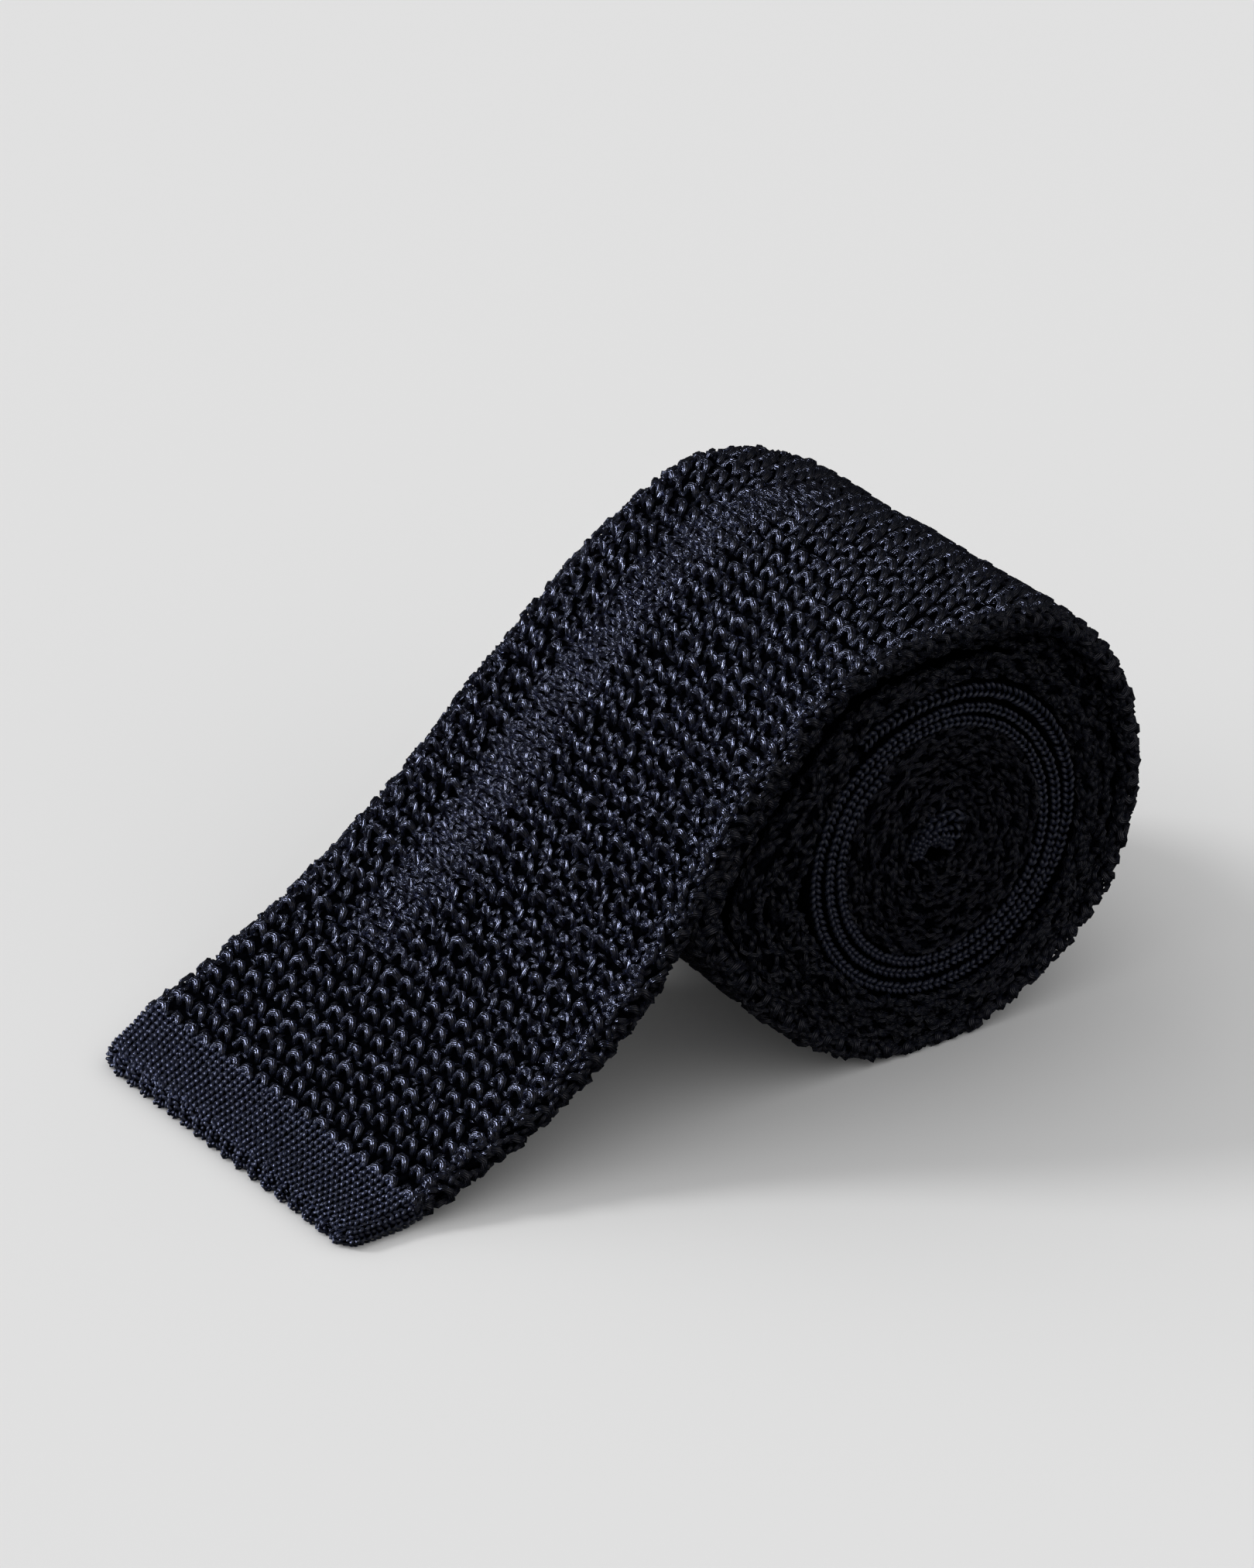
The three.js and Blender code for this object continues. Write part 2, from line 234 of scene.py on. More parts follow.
ROLL_TOP, BLADE_STOP, NECK_STOP, TIE_STOP = (along_at(m) for m in (TOP_MARK, BLADE_END, NECK_END, TIE_END))
HEM_START = along_at(-1)
for name, start, stop in (
    ("hem", HEM_START, 0),
    ("blade", 0, BLADE_STOP),
    ("neck", BLADE_STOP, NECK_STOP),
    ("tail", NECK_STOP, TIE_STOP),
):
    print(f"{name} is {(stop - start) / MM:.1f} mm long")
print(f"the whole tie is {(TIE_STOP - HEM_START) / MM:.0f} mm long")

# %% [markdown]
# ## The skin of the tube
# A stitch is placed by three numbers, as a knitter counts: how far along the tie, which column round
# the tube, and how high above the cloth. Column 0 is the middle of the near edge, 19 the middle of
# the far edge, and 38 is back at 0. The edges fold over in half an ellipse.
# %% Point and normal on the skin
COLUMNS = 38
FOLD = 0.75  # columns from the middle of an edge to where the flat face starts
LIP = HEM_THICK / 2
LOBE, LOBE_DEPTH = 3.3 * MM, 1.4 * MM  # scallops of the hem's free end


def face_point(along, around):
    """Points on the knit's face at metres along the tie and columns round it."""
    at = np.interp(along, track_along, np.arange(len(track_along)))
    low = np.clip(at.astype(int), 0, len(track) - 2)
    blend = (at - low)[..., None]
    row = track[low] * (1 - blend) + track[low + 1] * blend
    near, far = row[..., :6], row[..., 6:]
    to_end = np.clip(np.minimum(along - HEM_START, TIE_STOP - along) / LIP, 0, 1)
    lip = 0.1 + 0.9 * np.sqrt(to_end * (2 - to_end))
    fold = np.minimum(near[..., 4] * 0.5, 1.8 * MM)

    turn = np.mod(around + FOLD, COLUMNS) - FOLD  # from -FOLD up to COLUMNS - FOLD
    flat = COLUMNS / 2 - 2 * FOLD
    phase_near = np.clip((FOLD - turn) / (2 * FOLD), 0, 1) * math.pi
    phase_far = np.clip((turn - COLUMNS / 2 + FOLD) / (2 * FOLD), 0, 1) * math.pi
    at_near, at_far = turn < FOLD, np.abs(turn - COLUMNS / 2) < FOLD
    outside = turn < COLUMNS / 2
    travel = np.where(outside, turn - FOLD, COLUMNS - FOLD - turn) / flat
    left, right = -near[..., 5] + fold, far[..., 5] - fold
    y = left + (right - left) * np.clip(travel, 0, 1)
    y = np.where(at_near, left - fold * np.sin(phase_near), y)
    y = np.where(at_far, right + fold * np.sin(phase_far), y)
    phase = np.where(at_near, phase_near, np.where(at_far, phase_far, np.where(outside, 0, math.pi)))
    share = (1 - np.cos(phase)) / 2

    across = ((y + near[..., 5]) / (near[..., 5] + far[..., 5]))[..., None]
    mid = near * (1 - across) + far * across
    depth = mid[..., 4] * (0.5 + (share - 0.5) * lip)
    inward = mid[..., 2:4] / np.hypot(mid[..., 2], mid[..., 3])[..., None]
    dip = LOBE_DEPTH * (1 - np.abs(np.cos(math.pi * y / LOBE)))
    dip = dip * np.clip(1 - (along - HEM_START) / (1.5 * LIP), 0, 1)
    x, z = mid[..., 0] + inward[..., 0] * depth + dip, mid[..., 1] + inward[..., 1] * depth
    return np.stack([x, y, z], -1)


def skin(along, around, height):
    """Points and outward normals, metres out of the knit's face."""
    along, around, height = np.broadcast_arrays(along, around, height)
    forward = face_point(along + 0.1 * MM, around) - face_point(along - 0.1 * MM, around)
    round_it = face_point(along, around + 0.04) - face_point(along, around - 0.04)
    normal = np.cross(forward, round_it)
    normal /= np.linalg.norm(normal, axis=-1)[..., None] + 1e-15
    return face_point(along, around) + normal * height[..., None], normal


corner, _ = skin(np.array([0.0]), np.array([FOLD]), np.array([0.0]))
print("first row of the blade, near shoulder", (corner[0] / MM).round(2))

# %% [markdown]
# ## The camera
# The photograph was taken from above the hem's side, from a little under thirty degrees over the
# table, with a long lens that keeps the tie's edges almost parallel. The camera comes early, so that
# every later piece can be looked at from the right side at once.
# %% Camera at the photograph's angle
camera_data = bpy.data.cameras.new("camera")
camera_data.sensor_width = 36
camera_data.sensor_fit = "AUTO"
camera_data.lens = 186.7
camera_data.clip_end = 20
camera = bpy.data.objects.new("camera", camera_data)
camera.location = (-549.7 * MM, -788.5 * MM, 538.9 * MM)
camera.rotation_euler = (math.radians(90 - 27.70), 0, math.radians(-34.93))
bpy.context.collection.objects.link(camera)
bpy.context.scene.camera = camera
print("camera", [round(v, 3) for v in camera.location])

# %% [markdown]
# ## Table and light
# The photograph is a plain studio shot: a pale table with no edge in sight, one large soft light from
# behind the left shoulder of the tie, and pale walls all round. Silk this dark shows little but its
# reflections, so what lights the scene and what the silk reflects are set apart. A wide sun and a
# narrow one light the table and give the soft shadow. A third sun gives nothing but glints. The world
# is an even pale wall, but to reflections it is a dim room with one warm card on the tie's near side,
# which keeps the roll's face readable.
# %% Table
bpy.ops.mesh.primitive_grid_add(x_subdivisions=8, y_subdivisions=8, size=6)
table_top = bpy.context.object
table_top.name = "table_top"
paper = bpy.data.materials.new("pale_table")
paper.use_nodes = True
paper_shader = paper.node_tree.nodes["Principled BSDF"]
paper_shader.inputs["Roughness"].default_value = 0.9
paper_shader.inputs["Specular IOR Level"].default_value = 0.1
paper_grain = paper.node_tree.nodes.new("ShaderNodeTexNoise")
paper_grain.inputs["Scale"].default_value = 3.0
paper_tone = paper.node_tree.nodes.new("ShaderNodeValToRGB")
paper_tone.color_ramp.elements[0].color = (0.80, 0.80, 0.80, 1)
paper_tone.color_ramp.elements[1].color = (0.81, 0.81, 0.81, 1)
paper_place = paper.node_tree.nodes.new("ShaderNodeTexCoord")
paper.node_tree.links.new(paper_place.outputs["Object"], paper_grain.inputs["Vector"])
paper.node_tree.links.new(paper_grain.outputs["Fac"], paper_tone.inputs["Fac"])
paper.node_tree.links.new(paper_tone.outputs["Color"], paper_shader.inputs["Base Color"])
table_top.data.materials.append(paper)

# %% World: a glow from the soft box's side, a warm card, and pale walls
SUN_FROM = np.array([-0.45, 0.62, 0.62])
SUN_FROM /= np.linalg.norm(SUN_FROM)
GLINT_FROM = np.array([-0.65, 0.55, 0.42])
GLINT_FROM /= np.linalg.norm(GLINT_FROM)
CARD_FROM = (0.2, -0.85, 0.49)
world = bpy.data.worlds.new("pale_walls")
world.use_nodes = True
bpy.context.scene.world = world
walls = world.node_tree
way = walls.nodes.new("ShaderNodeTexCoord")
towards = walls.nodes.new("ShaderNodeVectorMath")
towards.operation = "DOT_PRODUCT"
towards.inputs[1].default_value = SUN_FROM
walls.links.new(way.outputs["Generated"], towards.inputs[0])
facing = walls.nodes.new("ShaderNodeMapRange")
facing.inputs["From Min"].default_value = -0.3
walls.links.new(towards.outputs["Value"], facing.inputs["Value"])
falling = walls.nodes.new("ShaderNodeMath")
falling.operation = "POWER"
falling.inputs[1].default_value = 2.0
walls.links.new(facing.outputs["Result"], falling.inputs[0])
glow = walls.nodes.new("ShaderNodeMapRange")
glow.inputs["To Min"].default_value = 0.007
glow.inputs["To Max"].default_value = 0.02
walls.links.new(falling.outputs["Value"], glow.inputs["Value"])
to_card = walls.nodes.new("ShaderNodeVectorMath")
to_card.operation = "DOT_PRODUCT"
to_card.inputs[1].default_value = CARD_FROM
walls.links.new(way.outputs["Generated"], to_card.inputs[0])
card = walls.nodes.new("ShaderNodeMapRange")
card.inputs["From Min"].default_value = 0.72
card.inputs["To Max"].default_value = 0.18
walls.links.new(to_card.outputs["Value"], card.inputs["Value"])
both = walls.nodes.new("ShaderNodeMath")
walls.links.new(glow.outputs["Result"], both.inputs[0])
walls.links.new(card.outputs["Result"], both.inputs[1])
warmed = walls.nodes.new("ShaderNodeVectorMath")
warmed.operation = "SCALE"
warmed.inputs[0].default_value = (1.0, 0.88, 0.62)
walls.links.new(both.outputs["Value"], warmed.inputs["Scale"])
ray = walls.nodes.new("ShaderNodeLightPath")
seen = walls.nodes.new("ShaderNodeMix")
seen.data_type = "RGBA"
walls.links.new(ray.outputs["Is Glossy Ray"], seen.inputs["Factor"])
seen.inputs["A"].default_value = (0.64, 0.64, 0.64, 1)
walls.links.new(warmed.outputs["Vector"], seen.inputs["B"])
walls.links.new(seen.outputs["Result"], walls.nodes["Background"].inputs["Color"])
print("world nodes", len(walls.nodes))

# %% Suns
# name, strength, width in degrees, where it stands
for name, energy, width, origin in (
    ("soft_box", 0.55, 80, SUN_FROM),
    ("soft_box_middle", 0.95, 14, SUN_FROM),
    ("strip_light", 1.0, 14, GLINT_FROM),
):
    sun_data = bpy.data.lights.new(name, "SUN")
    sun_data.energy = energy
    sun_data.angle = math.radians(width)
    sun = bpy.data.objects.new(name, sun_data)
    sun.visible_glossy = name == "strip_light"
    sun.visible_diffuse = name != "strip_light"
    sun.rotation_euler = (math.acos(origin[2]), 0, math.atan2(origin[0], -origin[1]))
    bpy.context.collection.objects.link(sun)
table_top.visible_glossy = False
bpy.context.scene.view_settings.view_transform = "Standard"
print("light from", SUN_FROM.round(2), "and glints from", GLINT_FROM.round(2))

# %% [markdown]
# ## Silk
# The yarn is silk: several shiny threads laid side by side, almost black, with a cold blue glint. The
# threads are far too thin to model one by one, so a node group draws them along each strand's own UV
# map: U is millimetres along the strand and V goes once round it. The group gives a height for the
# bump and a mask for the grooves, and both the open knit and the fine knit use it.
# %% Node group: threads side by side
def group_math(tree, operation, a, b=None):
    node = tree.nodes.new("ShaderNodeMath")
    node.operation = operation
    for socket, value in zip(node.inputs, (a, b)):
        if value is None:
            continue
        if isinstance(value, (int, float)):
            socket.default_value = value
        else:
            tree.links.new(value, socket)
    return node.outputs[0]


threads = bpy.data.node_groups.new("silk_threads", "ShaderNodeTree")
for name, value in (("Threads", 8.0), ("Twist", 0.35), ("Wander", 0.25)):
    threads.interface.new_socket(name, in_out="INPUT", socket_type="NodeSocketFloat").default_value = value
threads.interface.new_socket("Height", in_out="OUTPUT", socket_type="NodeSocketFloat")
threads.interface.new_socket("Groove", in_out="OUTPUT", socket_type="NodeSocketFloat")
group_in, group_out = threads.nodes.new("NodeGroupInput"), threads.nodes.new("NodeGroupOutput")
strand_map = threads.nodes.new("ShaderNodeUVMap")
strand_map.uv_map = "strand"
split = threads.nodes.new("ShaderNodeSeparateXYZ")
threads.links.new(strand_map.outputs["UV"], split.inputs["Vector"])
wander = threads.nodes.new("ShaderNodeTexNoise")
wander.noise_dimensions = "2D"
wander.inputs["Scale"].default_value = 1.3
wander.inputs["Detail"].default_value = 1.0
threads.links.new(strand_map.outputs["UV"], wander.inputs["Vector"])
turned = group_math(threads, "MULTIPLY", split.outputs["X"], group_in.outputs["Twist"])
round_it = group_math(threads, "MULTIPLY", split.outputs["Y"], group_in.outputs["Threads"])
shaken = group_math(threads, "MULTIPLY", wander.outputs["Fac"], group_in.outputs["Wander"])
phase = group_math(threads, "ADD", group_math(threads, "ADD", turned, round_it), shaken)
wave = group_math(threads, "SINE", group_math(threads, "MULTIPLY", phase, math.pi))
ridge = group_math(threads, "ABSOLUTE", wave)
rounded = group_math(threads, "POWER", ridge, 0.6)
fibres = threads.nodes.new("ShaderNodeTexNoise")
fibres.noise_dimensions = "2D"
fibres.inputs["Scale"].default_value = 1.0
fibres.inputs["Detail"].default_value = 2.0
stretch = threads.nodes.new("ShaderNodeMapping")
stretch.inputs["Scale"].default_value = (1.5, 46, 1)
threads.links.new(strand_map.outputs["UV"], stretch.inputs["Vector"])
threads.links.new(stretch.outputs["Vector"], fibres.inputs["Vector"])
fine = group_math(threads, "MULTIPLY", fibres.outputs["Fac"], 0.35)
threads.links.new(group_math(threads, "ADD", rounded, fine), group_out.inputs["Height"])
threads.links.new(group_math(threads, "SUBTRACT", 1, rounded), group_out.inputs["Groove"])
print("silk_threads has", len(threads.nodes), "nodes")


# %% Materials: silk of the open knit and of the fine knit
def silk(name, dark, pale, rough, glint, threads_round, twist, depth):
    """Silk yarn. Its tone changes a little from strand to strand; its grooves get painted shade."""
    material = bpy.data.materials.new(name)
    material.use_nodes = True
    tree = material.node_tree
    shader = tree.nodes["Principled BSDF"]
    shader.inputs["IOR"].default_value = 3.0
    shader.inputs["Specular IOR Level"].default_value = 1.0
    shader.inputs["Specular Tint"].default_value = (*glint, 1)
    strands = tree.nodes.new("ShaderNodeGroup")
    strands.node_tree = threads
    strands.inputs["Threads"].default_value = threads_round
    strands.inputs["Twist"].default_value = twist
    tone = tree.nodes.new("ShaderNodeAttribute")
    tone.attribute_name = "strand_tone"
    colour = tree.nodes.new("ShaderNodeMix")
    colour.data_type = "RGBA"
    colour.inputs["A"].default_value = (*dark, 1)
    colour.inputs["B"].default_value = (*pale, 1)
    tree.links.new(tone.outputs["Fac"], colour.inputs["Factor"])
    # painted shade: the base colour drops to a third of the dark tone in the grooves between threads
    groove_painted_shade = tree.nodes.new("ShaderNodeMix")
    groove_painted_shade.data_type = "RGBA"
    groove_painted_shade.inputs["B"].default_value = (dark[0] * 0.3, dark[1] * 0.3, dark[2] * 0.3, 1)
    tree.links.new(strands.outputs["Groove"], groove_painted_shade.inputs["Factor"])
    tree.links.new(colour.outputs["Result"], groove_painted_shade.inputs["A"])
    tree.links.new(groove_painted_shade.outputs["Result"], shader.inputs["Base Color"])
    roughness = tree.nodes.new("ShaderNodeMapRange")
    roughness.inputs["To Min"].default_value = rough
    roughness.inputs["To Max"].default_value = rough + 0.14
    tree.links.new(strands.outputs["Groove"], roughness.inputs["Value"])
    tree.links.new(roughness.outputs["Result"], shader.inputs["Roughness"])
    bump = tree.nodes.new("ShaderNodeBump")
    bump.inputs["Strength"].default_value = 1.0
    bump.inputs["Distance"].default_value = depth
    tree.links.new(strands.outputs["Height"], bump.inputs["Height"])
    tree.links.new(bump.outputs["Normal"], shader.inputs["Normal"])
    return material


DARK_SILK, PALE_SILK = (0.0008, 0.0009, 0.0016), (0.0028, 0.0031, 0.005)
open_silk = silk("open_knit_silk", DARK_SILK, PALE_SILK, 0.22, (0.39, 0.43, 0.64), 8, 0.35, 0.11 * MM)
fine_silk = silk("fine_knit_silk", DARK_SILK, PALE_SILK, 0.32, (0.55, 0.62, 0.97), 6, 0.3, 0.05 * MM)
print("materials", open_silk.name, fine_silk.name)


# %% [markdown]
# ## The cloth under the stitches
# Between the raised stitches one sees the inside of the knit, dark silk with painted shade for the deep
# gaps. Each part of the tie gets a thin slab that follows the path a little below the CAD solid's face.
# It is closed all round, with its own UV map in millimetres, and it is what stands for the cloth: the
# stitches made later lie on it.
# %% Helper: one mesh from arrays
def solid(name, points, quads, ends, quad_uv, end_uv, tones, material):
    """A closed mesh. quads is (q, 4) and ends (e, m) corner numbers, with a UV for each corner."""
    mesh = bpy.data.meshes.new(name)
    corners = np.concatenate([quads.ravel(), ends.ravel()]).astype(np.int32)
    sizes = np.concatenate([np.full(len(quads), 4), np.full(len(ends), ends.shape[1])])
    mesh.vertices.add(len(points))
    mesh.vertices.foreach_set("co", points.astype(np.float32).ravel())
    mesh.loops.add(len(corners))
    mesh.loops.foreach_set("vertex_index", corners)
    mesh.polygons.add(len(sizes))
    mesh.polygons.foreach_set("loop_start", np.concatenate([[0], np.cumsum(sizes)[:-1]]).astype(np.int32))
    uv = np.concatenate([quad_uv.reshape(-1, 2), end_uv.reshape(-1, 2)]).astype(np.float32)
    mesh.uv_layers.new(name="strand").uv.foreach_set("vector", uv.ravel())
    mesh.attributes.new("strand_tone", "FLOAT", "POINT").data.foreach_set("value", tones.astype(np.float32))
    mesh.update(calc_edges=True)
    mesh.shade_smooth()
    mesh.materials.append(material)
    piece = bpy.data.objects.new(name, mesh)
    bpy.context.collection.objects.link(piece)
    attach(piece, "root")
    return piece


# %% Material of the ground between the stitches
ground =bpy.data.materials.new("ground_knit_and_painted_shade")
ground.use_nodes = True
ground_tree = ground.node_tree
ground_shader = ground_tree.nodes["Principled BSDF"]
ground_shader.inputs["Roughness"].default_value = 0.7
ground_shader.inputs["Specular IOR Level"].default_value = 0.0
ground_map = ground_tree.nodes.new("ShaderNodeUVMap")
ground_map.uv_map = "strand"
ground_cells = ground_tree.nodes.new("ShaderNodeTexVoronoi")
ground_cells.inputs["Scale"].default_value = 1.1
ground_tree.links.new(ground_map.outputs["UV"], ground_cells.inputs["Vector"])
# painted shade: each cell darkens from its middle to its sunk rim, and the near-black tone is partly the
# knit's dark silk and partly painted shade for the deep gaps between the stitches
ground_tone_and_shade = ground_tree.nodes.new("ShaderNodeValToRGB")
ground_tone_and_shade.color_ramp.elements[0].color = (0.0016, 0.0018, 0.003, 1)
ground_tone_and_shade.color_ramp.elements[1].color = (0.0002, 0.0002, 0.0004, 1)
ground_tree.links.new(ground_cells.outputs["Distance"], ground_tone_and_shade.inputs["Fac"])
ground_tree.links.new(ground_tone_and_shade.outputs["Color"], ground_shader.inputs["Base Color"])
ground_bump = ground_tree.nodes.new("ShaderNodeBump")
ground_bump.invert = True
ground_bump.inputs["Distance"].default_value = 0.25 * MM
ground_tree.links.new(ground_cells.outputs["Distance"], ground_bump.inputs["Height"])
ground_tree.links.new(ground_bump.outputs["Normal"], ground_shader.inputs["Normal"])
print("ground material", ground.name)

# %% Slabs, one for each part of the tie
ring_around = np.concatenate([
    np.linspace(-FOLD, FOLD, 7)[:-1], np.linspace(FOLD, COLUMNS / 2 - FOLD, 13)[:-1],
    np.linspace(COLUMNS / 2 - FOLD, COLUMNS / 2 + FOLD, 7)[:-1],
    np.linspace(COLUMNS / 2 + FOLD, COLUMNS - FOLD, 13)[:-1],
])


def from_edge(around):
    """Columns to the middle of the nearer edge."""
    return np.abs(np.mod(around + COLUMNS / 4, COLUMNS / 2) - COLUMNS / 4)


def slab(name, start, stop, step, sunk):
    """The cloth from start to stop, sunk below the face of the stitches, less so at its edges."""
    rows = max(3, int(math.ceil((stop - start) / step)) + 1)
    along = np.linspace(start, stop, rows)
    depth = sunk * np.interp(from_edge(ring_around), (FOLD, 2 * FOLD), (0.6, 1))
    points, _ = skin(along[:, None], ring_around[None, :], -depth[None, :])
    points[..., 2] = np.maximum(points[..., 2], 0.1 * MM)
    count = len(ring_around)
    i, j = np.meshgrid(np.arange(rows - 1), np.arange(count), indexing="ij")
    k = (j + 1) % count
    this_row, next_row = i * count, (i + 1) * count
    quads = np.stack([this_row + j, next_row + j, next_row + k, this_row + k], -1).reshape(-1, 4)
    u, v = along / MM, np.concatenate([ring_around, [COLUMNS - FOLD]]) * 3.5
    quad_uv = np.stack([
        np.stack([u[i], v[j]], -1), np.stack([u[i + 1], v[j]], -1),
        np.stack([u[i + 1], v[j + 1]], -1), np.stack([u[i], v[j + 1]], -1),
    ], 2).reshape(-1, 4, 2)
    ends = np.stack([np.arange(count), (rows - 1) * count + np.arange(count)[::-1]])
    end_uv = np.zeros((2, count, 2))
    piece = solid(
        name, points.reshape(-1, 3), quads, ends, quad_uv, end_uv, np.zeros(rows * count), ground
    )
    print(name, rows, "rows,", round((stop - start) / MM, 1), "mm of cloth")
    return piece


hem_cloth = slab("hem_cloth", HEM_START + 0.6 * MM, -CLEARANCE / 2, 0.7 * MM, 0.55 * MM)
blade_cloth = slab("blade_cloth", 0, BLADE_STOP, 2.2 * MM, 0.85 * MM)
neck_cloth = slab("neck_cloth", BLADE_STOP + CLEARANCE, NECK_STOP, 2.0 * MM, 0.3 * MM)
tail_stop = TIE_STOP - HEM_LENGTH
tail_cloth = slab("tail_cloth", NECK_STOP + CLEARANCE, tail_stop, 1.2 * MM, 0.6 * MM)
tail_hem_cloth = slab("tail_hem_cloth", tail_stop + CLEARANCE, TIE_STOP, 0.7 * MM, 0.4 * MM)


# %% [markdown]
# ## Strands
# A stitch is a short flattened tube. A modelled and copied mesh would be the usual way, but the
# stitches bend with the cloth, so each one is worked out from its own centre line on the skin: a ring
# of corners is set square to the line at each of its points, wide along the cloth and lower out of it.
# All the strands of one piece are worked out together and joined in one mesh.
# %% Helper: many strands at once
def line_frames(point, normal):
    """Unit vectors out of the cloth and sideways along it, at each point of each strand."""
    run = np.gradient(point, axis=1)
    run /= np.linalg.norm(run, axis=-1)[..., None] + 1e-12
    up = normal - (normal * run).sum(-1)[..., None] * run
    up /= np.linalg.norm(up, axis=-1)[..., None] + 1e-12
    return up, np.cross(up, run)


def strands(name, along, around, height, half_wide, half_tall, corners, material, ply_gap=0.0):
    """Tubes on the skin. along, around and height are (strands, points); the halves are metres.

    With a ply gap, each strand is two plies that turn once round each other at that distance.
    """
    along, around, height = np.broadcast_arrays(along, around, height)
    point, normal = skin(along, around, height)
    up, aside = line_frames(point, normal)
    if ply_gap:
        first_turn = rng.uniform(0, 2, (len(along), 1))
        spin = math.pi * (2 * np.linspace(0, 1, along.shape[1]) + first_turn)
        swing = aside * np.cos(spin)[..., None] * 1.15 + up * np.sin(spin)[..., None] * 0.7
        point = np.concatenate([point + swing * ply_gap, point - swing * ply_gap])
        up, aside = line_frames(point, np.concatenate([normal, normal]))
    count, length = point.shape[:2]
    end_taper = np.ones(length)
    end_taper[[0, -1]] = 0.5
    wide = np.broadcast_to(half_wide, (count, length)) * end_taper
    tall = np.broadcast_to(half_tall, (count, length)) * end_taper
    angle = 2 * math.pi * np.arange(corners) / corners
    ring = (
        point[:, :, None]
        + aside[:, :, None] * (np.cos(angle)[:, None] * wide[:, :, None, None])
        + up[:, :, None] * (np.sin(angle)[:, None] * tall[:, :, None, None])
    )
    ring[..., 2] = np.maximum(ring[..., 2], 0.03 * MM)
    s, i, j = np.meshgrid(np.arange(count), np.arange(length - 1), np.arange(corners), indexing="ij")
    k = (j + 1) % corners
    base = (s * length + i) * corners
    quads = np.stack([base + j, base + k, base + corners + k, base + corners + j], -1).reshape(-1, 4)
    travelled = np.concatenate([
        np.zeros((count, 1)), np.cumsum(np.linalg.norm(np.diff(point, axis=1), axis=-1), axis=1)
    ], axis=1) / MM
    travelled += rng.uniform(0, 60, (count, 1)).round(1)
    u0, u1 = travelled[s, i], travelled[s, i + 1]
    v0, v1 = j / corners, (j + 1) / corners
    quad_uv = np.stack([
        np.stack([u0, v0], -1), np.stack([u0, v1], -1), np.stack([u1, v1], -1), np.stack([u1, v0], -1)
    ], 3).reshape(-1, 4, 2)
    first = np.arange(count)[:, None] * length * corners
    turn = np.arange(corners)[None]
    ends = np.concatenate([first + turn[:, ::-1], first + (length - 1) * corners + turn])
    end_uv = np.stack([
        np.broadcast_to(np.concatenate([travelled[:, 0], travelled[:, -1]])[:, None], ends.shape),
        np.broadcast_to(turn / corners, ends.shape),
    ], -1)
    tones = np.repeat(rng.uniform(0, 1, count), length * corners)
    piece = solid(name, ring.reshape(-1, 3), quads, ends, quad_uv, end_uv, tones, material)
    triangles = len(quads) * 2 + len(ends) * (corners - 2)
    print(f"{name}: {count} strands, {triangles} triangles")
    return piece


# %% [markdown]
# ## Where the stitches sit
# The open knit is a brick pattern: the stitches of one row sit between those of the row before.
# Inside the roll only the edges of the tie can be seen, so stitches that nobody could ever see are
# left out there. Each place gets a small seeded shift, because no two stitches of a soft silk knit
# pull equally tight.
# %% Lattice of the open knit
ROW = 2.86 * MM
COLUMN = 3.51 * MM
NOSE_MARK = 16.2  # where the outermost turn meets the climbing blade
UNDER_MARK = 4.9  # where the roll hides the underside of the slope


def lattice(start, stop, wanted):
    """Places of stitches as arrays of along and column. wanted says which ones can be seen."""
    row, column = np.meshgrid(np.arange(int((stop - start) / ROW) + 1), np.arange(COLUMNS), indexing="ij")
    along, around = (start + row * ROW).ravel(), (column + 0.5 * (row % 2)).ravel()
    keep = wanted(along, around)
    return along[keep], around[keep]


def is_outside(around):
    return np.mod(around, COLUMNS) < COLUMNS / 2


NOSE, UNDER = along_at(NOSE_MARK), along_at(UNDER_MARK)


def blade_seen(along, around):
    shown = (is_outside(around) & (along < NOSE)) | (~is_outside(around) & (along < UNDER))
    return shown & (from_edge(around) > 0.45)


def beside_fold(along, around):
    """Stitches that would sit on the fold of an edge move to the flat cloth beside it."""
    edge = np.round(around / (COLUMNS / 2)) * COLUMNS / 2
    return along, np.where(from_edge(around) < 0.6, edge + 0.85 * np.sign(around - edge), around)


blade_places = beside_fold(*lattice(1.25 * MM, BLADE_STOP - 1.0 * MM, blade_seen))
print("open stitches on the blade", len(blade_places[0]))

# %% [markdown]
# ## Arches
# The stitch that gives this knit its look is a plump arch: a loop of silk that stands up from the
# cloth, points away from the hem, and has a dark hole under it. Its line is a short table, feet first.
# On the middle of the slope the tie was handled most, and there some loops have come apart in two
# plies. Those are two thin tubes that turn round each other on the same line.
# %% Raised arches of the open knit
# along and across in millimetres, then height above the solid's face
arch = np.array([
    (-1.20, -1.28, -1.20),
    (-0.80, -1.24, -0.62),
    (-0.22, -1.04, -0.12),
    (0.38, -0.50, 0.22),
    (0.38, 0.50, 0.22),
    (-0.22, 1.04, -0.12),
    (-0.80, 1.24, -0.62),
    (-1.20, 1.28, -1.20),
]) * MM


def laid(table, places, size=1.0, turn_by=8.0, loose=0.16 * MM):
    """Copies of a stitch table at the places, each with a small shift, turn and size of its own."""
    along, around = places
    count = len(along)
    turn_angle = np.radians(rng.normal(0, turn_by, count))[:, None]
    grow = (size * rng.normal(1, 0.08, count))[:, None]
    a, b = table[:, 0] * grow, table[:, 1] * grow
    forward = a * np.cos(turn_angle) - b * np.sin(turn_angle) + rng.normal(0, loose, count)[:, None]
    across = a * np.sin(turn_angle) + b * np.cos(turn_angle) + rng.normal(0, loose, count)[:, None]
    up = table[:, 2] + rng.normal(0, loose / 2, count)[:, None]
    return along[:, None] + forward, around[:, None] + across / COLUMN, up


def at_edge(places, height):
    """Stitches that fold over an edge of the tie lie flatter and deeper."""
    fold_over = np.clip(1 - from_edge(places[1]) / 1.2, 0, 1)[:, None]
    return height * (1 - 0.2 * fold_over) - 0.3 * MM * fold_over


